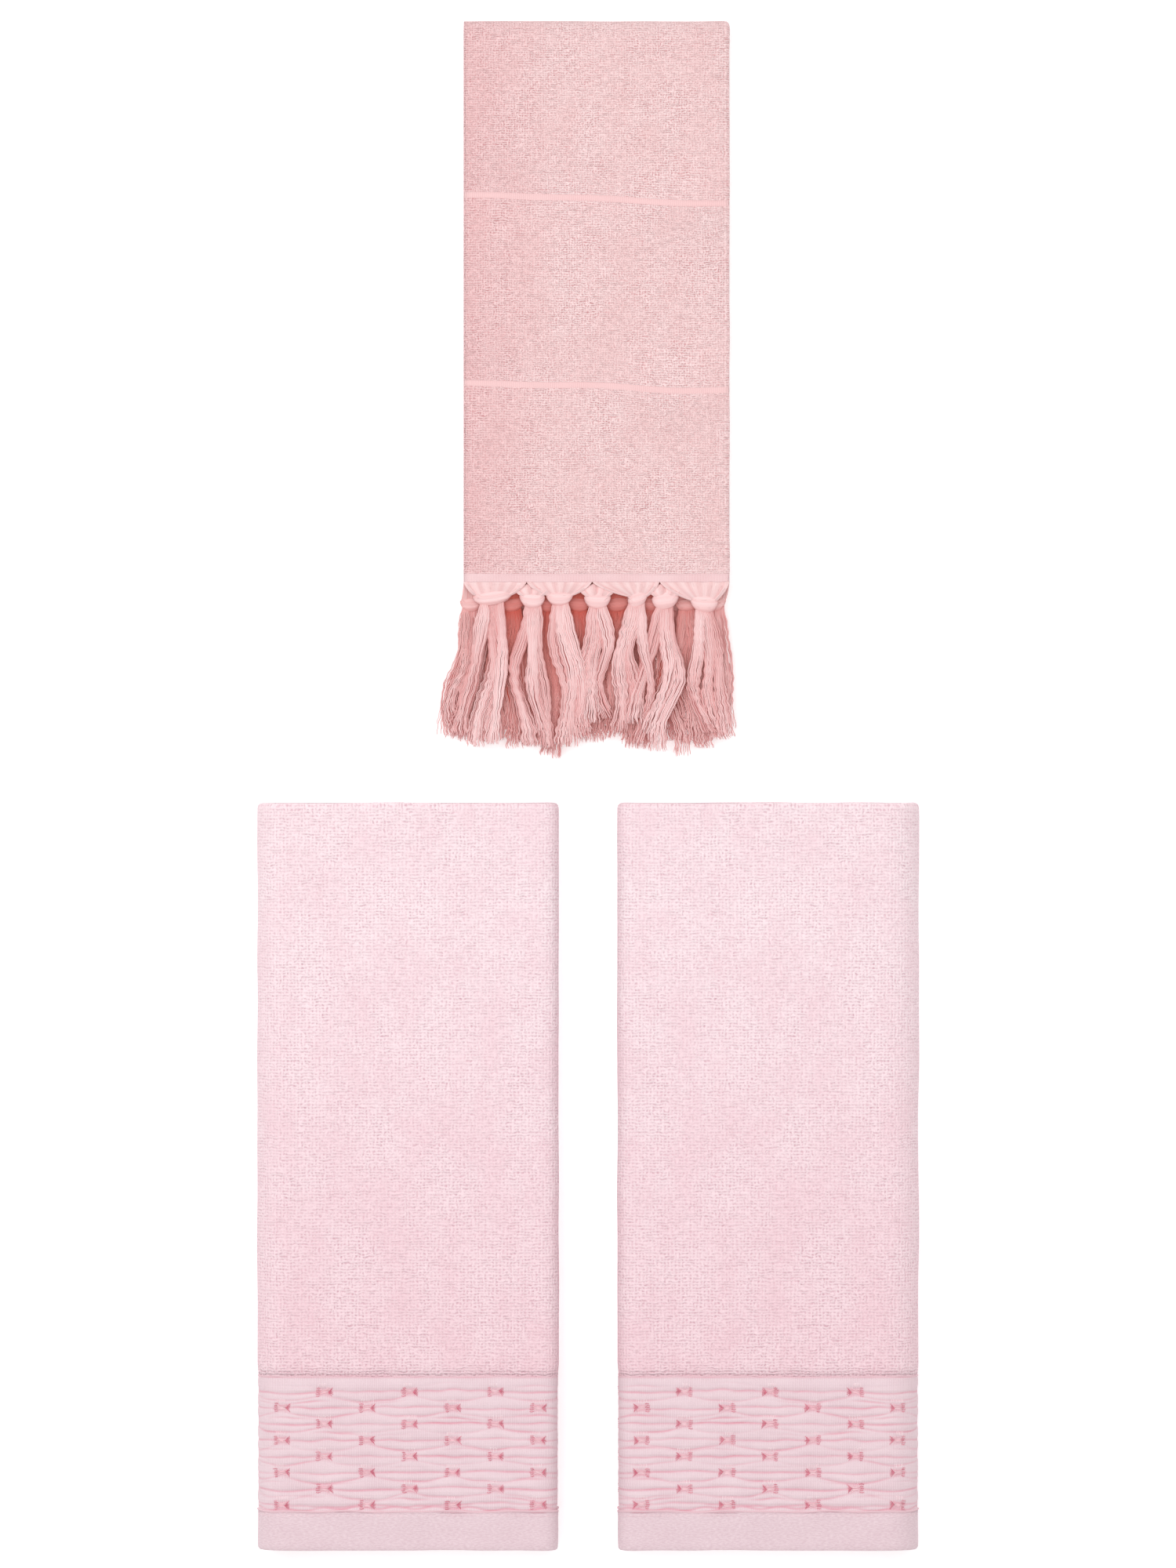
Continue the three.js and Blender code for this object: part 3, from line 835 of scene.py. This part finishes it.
def hand_cloth(towel):
    """One cloth with two thin flat bands and a flat header in each half."""
    t_rows, zones = hand_rows(towel)
    columns = towel.stack.places(0, towel.total, 4.0, 9.0)
    s, t = np.meshgrid(columns, t_rows, indexing="ij")
    size = np.abs(t)
    # The bands run slightly askew, so the rows near them are slanted and eased back to straight.
    slant = np.zeros(t.shape)
    for centre in BAND_FROM_FOLD:
        near = smooth_step(1 - np.abs(size - towel.start - centre) / 30.0)
        fold_side = 0.5 - 0.5 * np.cos(math.pi * s / towel.width)
        slant += near * (BAND_SLOPE * (fold_side - 0.5) + 0.7 * soft_noise(s, 0 * s, int(centre), 50.0, 4))
    edge = smooth_step((size - towel.reach + 3.0) / 3.0)
    ragged = edge * 0.2 * soft_noise(s, 0 * s, 3, 9.0, 6)
    placed_t = t + np.sign(t) * (slant * (size > 2 * towel.arc) + ragged)
    woven = np.pad(zones != TERRY, 1, mode="edge")
    level = (woven[:-1] & woven[1:]).astype(float)[None, :]  # 1 on a band or a header
    recess = 0.42 * level
    swell = 0.2 * soft_noise(s, t, 31, 48.0) * (1 - level)
    face = towel.place(placed_t, s, HAND_PLY / 2 - recess + swell)
    back = towel.place(placed_t, s, -HAND_PLY / 2 + recess)
    uv = np.stack([s, t], -1)
    materials = [PINK_TERRY, PINK_BAND, PINK_HEADER]
    tone = {"tone": np.clip(1 - s / 55.0, 0, 1)}
    return sheet_object("hand_terry_cloth", face, back, uv, materials, tone, zones)


class Tassel:
    """Where one tassel lies, and how its knot is shaped."""

    def __init__(self, row, index, x, knot):
        self.row, self.index, self.x = row, index, x
        node_low, node_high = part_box(f"{row}_tassel_{index + 1}")
        self.z = (node_low.z + node_high.z) / 2 / MM
        self.top = node_high.y / MM
        self.tip = node_low.y / MM
        self.knot_half_width, self.knot_half_tall, rise, self.tilt = knot
        self.knot_y = self.top - KNOT_DROP + rise
        self.rng = np.random.default_rng(1000 + 97 * index + {"front": 0, "middle": 300, "back": 600}[row])

    def name(self, part):
        return f"{self.row}_tassel_{self.index + 1}_{part}"

    def from_knot(self, x, y, z):
        """World points, in millimetres, from places counted from the middle of the knot."""
        return np.stack(np.broadcast_arrays(self.x + x, self.knot_y + y, self.z + z), -1)


def yarn_group(paths, radius, tone, depth, **shape):
    return {"paths": paths, "radius": radius, "values": {"tone": tone, "depth": depth}, **shape}


def skirt_locks(tassel, locks, start_half, end_half, lock_half, wander, lean, steps):
    """The locks of a skirt, as they hang from the knot, wander, twist, cross and part."""
    rng = tassel.rng
    along = np.linspace(0, 1, steps)[None, :]

    def one(low, high):
        return rng.uniform(low, high, (locks, 1))

    side = np.linspace(-1, 1, locks)[:, None] + one(-0.12, 0.12)
    spread = start_half + (end_half - start_half) * smooth_step(along * 1.7)
    turns, phase = one(0.6, 1.5), one(0, 2 * math.pi)
    curl = wander * one(0.5, 1.2) * (np.sin(2 * math.pi * turns * along + phase) - np.sin(phase))
    bend = 3.0 * np.sin(2 * math.pi * 0.9 * along + 2.4 * tassel.index)
    waist = 0.6 + 0.4 * smooth_step(along / 0.13)  # drawn together where it leaves the knot
    rise = one(0, 2 * math.pi)
    swell = 0.72 + 0.33 * np.sin(2 * math.pi * one(0.6, 1.1) * along + one(0, 6.3)) ** 2
    return {"along": along, "waist": waist,
            "x": side * spread + (curl + bend) * smooth_step(along * 1.6) + lean * along**1.3,
            "z": 1.1 * np.sin(rise + 2 * math.pi * one(0.3, 0.8) * along),
            "twist": one(-1.1, 1.1) * along + one(-0.35, 0.35),
            "half": lock_half * one(0.85, 1.15) * (swell + 0.5 * smooth_step((along - 0.8) / 0.2)) * waist,
            "length": (tassel.knot_y - SKIRT_START - tassel.tip) * one(0.8, 1.0),
            "crimp": (one(4.8, 6.8), one(0, 6.3), one(0.12, 0.26))}


def lock_yarns(tassel, locks, yarns):
    """The yarns of each lock. They share its crimp, and their ends spread."""
    rng = tassel.rng
    along = locks["along"]
    lock = np.repeat(np.arange(len(locks["x"])), yarns)
    count = len(lock)

    def each(low, high):
        return rng.uniform(low, high, (count, 1))

    # Most lie side by side over the top of the lock, the others under it.
    order = np.tile(np.arange(yarns), len(locks["x"]))[:, None]
    upper = math.ceil(0.55 * yarns)
    on_top = order < upper
    rank = np.where(on_top, order / (upper - 1), (order - upper) / (yarns - upper - 1)) * 2 - 1
    a = np.clip(rank + each(-0.04, 0.04), -1, 1)
    bulge = np.where(on_top, each(0.86, 1), -each(0.2, 0.9))
    b = np.sqrt(1 - 0.92 * a**2) * bulge
    turn, half = locks["twist"][lock], locks["half"][lock]
    x = locks["x"][lock] + half * (a * np.cos(turn) - 0.6 * b * np.sin(turn))
    z = locks["z"][lock] + 1.5 * (a * np.sin(turn) * 0.7 + b * np.cos(turn))
    down = (locks["length"][lock] * (1 - 0.1 * each(0, 1) ** 2)) * along
    crimp_length, crimp_phase, crimp_size = (part[lock] for part in locks["crimp"])
    crimp = 2 * math.pi * down / crimp_length + crimp_phase + 0.7 * a
    size = crimp_size * each(0.7, 1.3) * smooth_step(along / 0.1) * (0.8 + 0.5 * along)
    size = size * (1 + 0.6 * np.sin(2 * math.pi * 2.3 * along + 2 * crimp_phase))
    x = x + size * np.sin(crimp) + 0.16 * np.sin(0.43 * crimp + each(0, 1.2))
    # The yarns lie in bunches of three or four, with a groove between them.
    groove = 0.5 - 0.5 * np.cos(2 * math.pi * order / 3.5 + 2.0 * lock[:, None])
    z = (z - 0.3 * groove + 0.5 * size * np.cos(crimp)) * (1.7 * locks["waist"] - 0.7)
    stray = rng.normal(0, 1, (count, 1))
    x = x + 0.65 * stray * smooth_step((along - 0.8) / 0.2)
    x = x + np.where(np.abs(stray) > 2.0, 0.7 * stray * along**2, 0)
    y = tassel.knot_y - SKIRT_START - down
    z = np.clip(tassel.z + z, tassel.z - 2.5, tassel.z + 2.6)
    return np.stack([tassel.x + x, y, z], -1), groove


def lock_cores(tassel, locks):
    """What the yarns on the outside of each lock lie on: a flat bundle down its middle."""
    along = locks["along"]
    keep = slice(0, int(0.86 * along.shape[1]), 2)
    taper = 0.6 * np.sqrt(np.clip(1 - along / 0.88, 0.02, 1)) ** 0.5
    y = tassel.knot_y - SKIRT_START - locks["length"] * along
    z = tassel.z + (0.85 * locks["z"] - 0.45) * (1.7 * locks["waist"] - 0.7)
    paths = np.stack([tassel.x + locks["x"], y, z], -1)[:, keep]
    lift = 1.0 / locks["half"].mean()
    return {"paths": paths, "radius": (locks["half"] * taper)[:, keep], "sides": 10, "flatten": lift}


def add_skirt(tassel, depth, yarns, settings):
    locks = skirt_locks(tassel, **settings)
    paths, groove = lock_yarns(tassel, locks, yarns)
    rng = tassel.rng
    count, steps = paths.shape[:2]
    # painted shade: tone darkens each lock's low side and the grooves between its bunches; depth adds painted
    # red shade, more on the low side, fading towards the tips
    low = np.clip(0.5 - (paths[:, :, 2] - tassel.z) / 4.5, 0, 1)
    if tassel.row == "back":  # its inner side, where the painted shade goes, is the upper one
        low = 1 - low
    fade = 1 - (0.66 if tassel.row == "middle" else 0.45) * locks["along"] ** 0.8
    tone = rng.uniform(-0.1, 0.15, count)[:, None] + (0.68 - 0.3 * locks["along"]) * low + 0.42 * groove
    tone = np.clip(tone, 0, 1)
    painted_shade = np.clip(depth[0] + depth[1] * low, 0, 1) * fade
    if tassel.row == "middle":  # its underside is pale, with little painted shade, for when the towel is opened
        painted_shade = painted_shade * (1 - 0.8 * smooth_step(1.6 * low - 0.5))
    radius = YARN_RADIUS * rng.uniform(0.85, 1.15, count)[:, None] * np.ones(steps)
    radius[:, -1] *= 0.5
    strands = yarn_group(paths, radius, tone, painted_shade)
    core = lock_cores(tassel, locks)
    # the core gets the darkest tone and extra painted red shade, to show as shade between the yarns
    core["values"] = {"tone": 1.0, "depth": min(1.0, depth[0] + 0.12)}
    return tubes_object(tassel.name("skirt"), [strands, core], [YARN])


def add_knot(tassel, depth):
    """A smooth, puffy knot like a pillow: strands side by side that run round it and draw together at its
    two ends, near its top, so that its lower edge is round."""
    rng = tassel.rng
    half_width, half_tall, half_height = tassel.knot_half_width, tassel.knot_half_tall, 2.5
    strands = 44
    lane = np.linspace(-1, 1, strands)[:, None]
    turn = np.linspace(0, 2 * math.pi, 37)[None, :]
    belly = np.sqrt(1 - 0.82 * lane**2)
    middle = np.abs(np.sin(turn)) ** 0.75
    x = half_width * (0.7 + 0.3 * belly) * np.sign(np.cos(turn)) * np.abs(np.cos(turn)) ** 0.95
    y = half_tall * (lane * (0.24 + 0.76 * middle) + 0.5 * (1 - middle)) + tassel.tilt * np.cos(turn)
    y = y + 0.25 * np.sin(turn * 2 + tassel.index) + rng.uniform(-0.05, 0.05, strands)[:, None]
    z = half_height * belly * np.sin(turn) + 0.14 * np.sin(9 * lane + 1.3 * tassel.index) * np.sin(turn)
    paths = tassel.from_knot(x, y, z)
    # Painted shade: darker and redder at its ends and towards its lower edge.
    tone = 0.12 + 0.1 * np.sin(7 * lane + tassel.index) + rng.uniform(-0.08, 0.12, (strands, 1))
    tone = np.clip(tone + 0.6 * (1 - middle) ** 1.5 + 0.4 * np.clip(-lane, 0, 1) ** 2, 0, 1)
    painted_shade = np.clip(depth + 0.22 * (1 - middle) ** 2 + 0.15 * np.clip(-lane, 0, 1) ** 3, 0, 1)
    upper = 0.3 + 0.7 * smooth_step(0.7 + np.sin(turn))  # with less painted red shade underneath, so paler there
    groups = [yarn_group(paths, 0.33, tone, painted_shade * upper, sides=6, reference=(0, 1, 0))]
    # The strand that comes out at one end of the knot and tucks in under its lower edge.
    over, flip = 12, 1 if tassel.index % 2 else -1
    share = np.linspace(0, 1, 18)[None, :]
    lane = np.linspace(-1, 1, over)[:, None]
    hump = np.sin(math.pi * share) ** 0.7
    x = flip * half_width * (0.9 - 0.75 * share) + 0.5 * lane * flip
    y = half_tall * (0.5 - 1.25 * share**1.6) + 1.2 * lane * (0.3 + 0.7 * hump) + tassel.tilt * flip * 0.6
    z = half_height * (0.15 + 0.85 * hump * (1 - 0.3 * share)) * np.sqrt(1 - 0.5 * lane**2)
    tone = rng.uniform(0.15, 0.35, over)
    groups.append(yarn_group(tassel.from_knot(x, y, z), 0.32, tone, depth, sides=6, reference=(0, 1, 0.2)))
    return tubes_object(tassel.name("knot"), groups, [YARN])


def add_fan(tassel, towel, low_x, high_x, level, depth, drop=0.0):
    """Warp yarns that leave the header side by side and draw together into the knot, with a rolled lip
    along both edges. A fan with a drop comes out from under the swags beside it, as two pouches."""
    rng = tassel.rng
    along = np.linspace(0, 1, 14)[None, :]

    def gathered(start_x, lift, tuck):
        rel = (start_x - tassel.x) / np.where(start_x > tassel.x, high_x - tassel.x, tassel.x - low_x)
        rel = np.clip(rel, -1, 1)
        end_x = tassel.x + (tassel.knot_half_width - 0.4 - tuck) * rel * (0.72 if drop else 1.0)
        jitter = rng.uniform(-0.12, 0.12, start_x.shape)
        end_y = tassel.knot_y + 0.45 * tassel.knot_half_tall
        if drop:
            start_y = towel.header_y - 0.2 - drop * np.abs(rel) + jitter
            puff = 1.5 * np.sin(math.pi * np.abs(rel) ** 0.8) * np.sin(math.pi * along) ** 0.8
            crease = -1.1 * np.exp(-((rel / 0.12) ** 2)) * (1 - along)
        else:
            start_y = towel.header_y + 0.9 - 0.6 * np.abs(rel) ** 3 + jitter
            puff, crease = (0.5 if tassel.row == "front" else 0.0) * np.sin(math.pi * along), 0.0
        sag = 0.9 * np.abs(rel) ** 3 * np.sin(math.pi * along) * (0.4 if drop else 1.0)
        x = start_x + (end_x - start_x) * along**1.25
        y = start_y + (end_y - start_y) * along - sag
        z = level + (tassel.z + 1.0 - level) * smooth_step(along * 1.1 - 0.1) + lift * np.sin(math.pi * along)
        return np.stack([x, y, z + puff + crease + 0 * x], -1)

    count = int((high_x - low_x) / 0.42)
    paths = gathered(np.linspace(low_x, high_x, count)[:, None], 0.0, 0.0)
    ripple = 0.16 * np.sin(np.linspace(0, 0.9 * (high_x - low_x), count))
    # depth is the fan's painted red shade, less on its lips
    groups = [yarn_group(paths, 0.36, 0.16 + ripple + rng.uniform(-0.08, 0.12, count), depth)]
    lip = 7
    for edge in (low_x, high_x):
        inner = edge + np.sign(tassel.x - edge) * np.linspace(0.15, 1.9, lip)[:, None]
        paths = gathered(inner, 0.7 if tassel.row == "front" else 0.2, 0.6)
        groups.append(yarn_group(paths, 0.4, rng.uniform(0.05, 0.25, lip), 0.6 * depth))
    return tubes_object(tassel.name("fan"), groups, [YARN])


def front_plan(towel, i, x):
    """A front tassel's knot, its skirt's settings, and its fan: both edges, its drop and how far under
    the row's level it lies."""
    if i % 2:  # this one comes out under a notch
        fan = (x - POUCH_HALF_WIDTH, x + POUCH_HALF_WIDTH, SWAG_DROP, POUCH_UNDER)
    else:
        swag_edges = [towel.left + edge for edge in (0.0, *NOTCHES, towel.width)]
        fan = (swag_edges[i // 2] + FAN_GAP, swag_edges[i // 2 + 1] - FAN_GAP, 0.0, 0.0)
    settings = {"locks": 3 if i else 4, "start_half": 2.4 if i else 4.6, "end_half": FRONT_SPREAD[i],
                "lock_half": 3.9, "wander": 2.5, "lean": FRONT_LEAN[i], "steps": 92}
    return FRONT_KNOTS[i], settings, fan


def lower_plan(row, i, count, low_x, high_x):
    """The same for a tassel of the two rows under the front one."""
    outward = (i / (count - 1) - 0.5) * 2
    knot = (6.4 if i in (0, count - 1) else 7.2, 3.6, -1.9, 0.9 * math.sin(2.1 * i))
    lean = -1.6 * math.sin(1.9 * i + len(row)) + (4.6 if outward < 0 else -2.2) * outward**3
    settings = {"locks": 5, "start_half": 3.6, "end_half": 8.4,
                "lock_half": 3.5, "wander": 1.8, "lean": lean, "steps": 64}
    return knot, settings, (low_x + FAN_GAP, high_x - FAN_GAP, 0.0, 0.0)


def build_row(towel, row, shifts, level, depth):
    """One row of tassels. Their skirts and knots ride the front bodies, or the half that they hang from."""
    pitch = towel.width / len(shifts)
    places = [towel.left + (i + 0.5) * pitch + shift for i, shift in enumerate(shifts)]
    edges = [towel.left] + [(a + b) / 2 for a, b in zip(places, places[1:])]
    edges.append(towel.left + towel.width)
    half_body = "fringed_lower_half" if row == "back" else "fringed_upper_half"
    pieces = []
    for i, x in enumerate(places):
        outermost = i in (0, len(places) - 1)
        if row == "front":
            knot, settings, fan_edges = front_plan(towel, i, x)
        else:
            knot, settings, fan_edges = lower_plan(row, i, len(places), edges[i], edges[i + 1])
        low_x, high_x, drop, under = fan_edges
        tassel = Tassel(row, i, x, knot)
        # cover scales the row's painted red shade: the middle tassels by how deep they show, the outermost
        # back ones less
        cover = MIDDLE_SHADE_SCALES[i] if row == "middle" else 0.35 if outermost and row == "back" else 1.0
        shade = (depth[0] * cover, depth[1] * cover)
        skirt = add_skirt(tassel, shade, 42 if row == "front" else 24, settings)
        wrapped = add_knot(tassel, 0.8 * shade[0])
        fan = add_fan(tassel, towel, low_x, high_x, level - under, shade[0], drop)
        body = f"front_tassel_{i + 1}_body" if row == "front" else half_body
        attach(skirt, body)
        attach(wrapped, body)
        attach(fan, half_body)
        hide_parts(f"{row}_tassel_{i + 1}")
        for piece in (skirt, wrapped, fan):
            pieces.append(piece)
    return pieces


def build_hand_towel():
    towel = HandTowel()
    cloth = hand_cloth(towel)
    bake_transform(cloth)
    zones = ("terry_top", "flat_band_1", "terry_middle", "flat_band_2", "terry_bottom", "header")
    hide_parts(*[f"fringed_{half}_{zone}" for half in ("lower", "upper") for zone in zones])
    # the last argument of each row is its painted red shade, overall and on the tassels' low side, strongest
    # near the top
    pieces = build_row(towel, "back", BACK_SHIFTS, 1.0, (0.12, 0.3))
    pieces += build_row(towel, "middle", MIDDLE_SHIFTS, towel.middle_z + 2.4, (0.92, 0.3))
    pieces += build_row(towel, "front", FRONT_SHIFTS, 2 * towel.middle_z - 0.85, (0.0, 0.4))


# ---------------------------------------------------------------- stage, lights and camera
def build_stage():
    n = Nodes("pale_floor", 0.9, 0.0, (1, 1, 1, 1))
    colour = n.mix(n.ramp(n.noise(n.add("ShaderNodeTexCoord").outputs["Object"], 0.8), 0.3, 0.7),
                   (0.93, 0.93, 0.93, 1), (0.95, 0.95, 0.95, 1))
    n.set({"Emission Color": (1.0, 1.0, 1.0, 1), "Emission Strength": 0.28})
    material = n.finish(colour)
    half, low = 3000.0, -0.3
    corners = [(-half, -half, low), (half, -half, low), (half, half, low), (-half, half, low)]
    floor = make_object("floor", corners, [(0, 1, 2, 3)], [material])


def build_lights():
    world = bpy.data.worlds.new("studio")
    bpy.context.scene.world = world
    world.use_nodes = True
    background = world.node_tree.nodes["Background"]
    background.inputs["Color"].default_value = (1.0, 0.995, 0.99, 1)
    background.inputs["Strength"].default_value = 0.57
    lamps = (("key", (-1.1, 0.9, 2.2), 1.6, 15.0),
             ("top", (0.0, 0.1, 3.0), 2.4, 42.0))
    for name, place, size, power in lamps:
        light = bpy.data.lights.new(name, "AREA")
        light.size = size
        light.energy = power
        lamp = bpy.data.objects.new(name, light)
        lamp.location = place
        direction = -np.array(place)
        lamp.rotation_euler = (math.atan2(math.hypot(direction[0], direction[1]), -direction[2]), 0,
                               math.atan2(direction[0], -direction[1]) + math.pi)
        bpy.context.scene.collection.objects.link(lamp)


def build_camera():
    view_height = 909.6 * MM  # of the table, from the top of the picture to its bottom
    sensor, lens = 36.0, 200.0
    camera = bpy.data.cameras.new("camera")
    camera.lens = lens
    camera.sensor_width = sensor
    camera.clip_end = 100
    holder = bpy.data.objects.new("camera", camera)
    bath_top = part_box("left_front_terry_field")[1].z
    holder.location = (0, 0, bath_top * 0.8 + view_height * lens / sensor)
    bpy.context.scene.collection.objects.link(holder)
    bpy.context.scene.camera = holder
    bpy.context.scene.view_settings.view_transform = "Standard"


build_camera()
build_lights()
build_stage()
for towel_side in ("left", "right"):
    build_bath_towel(towel_side)
build_hand_towel()

bpy.context.view_layer.update()
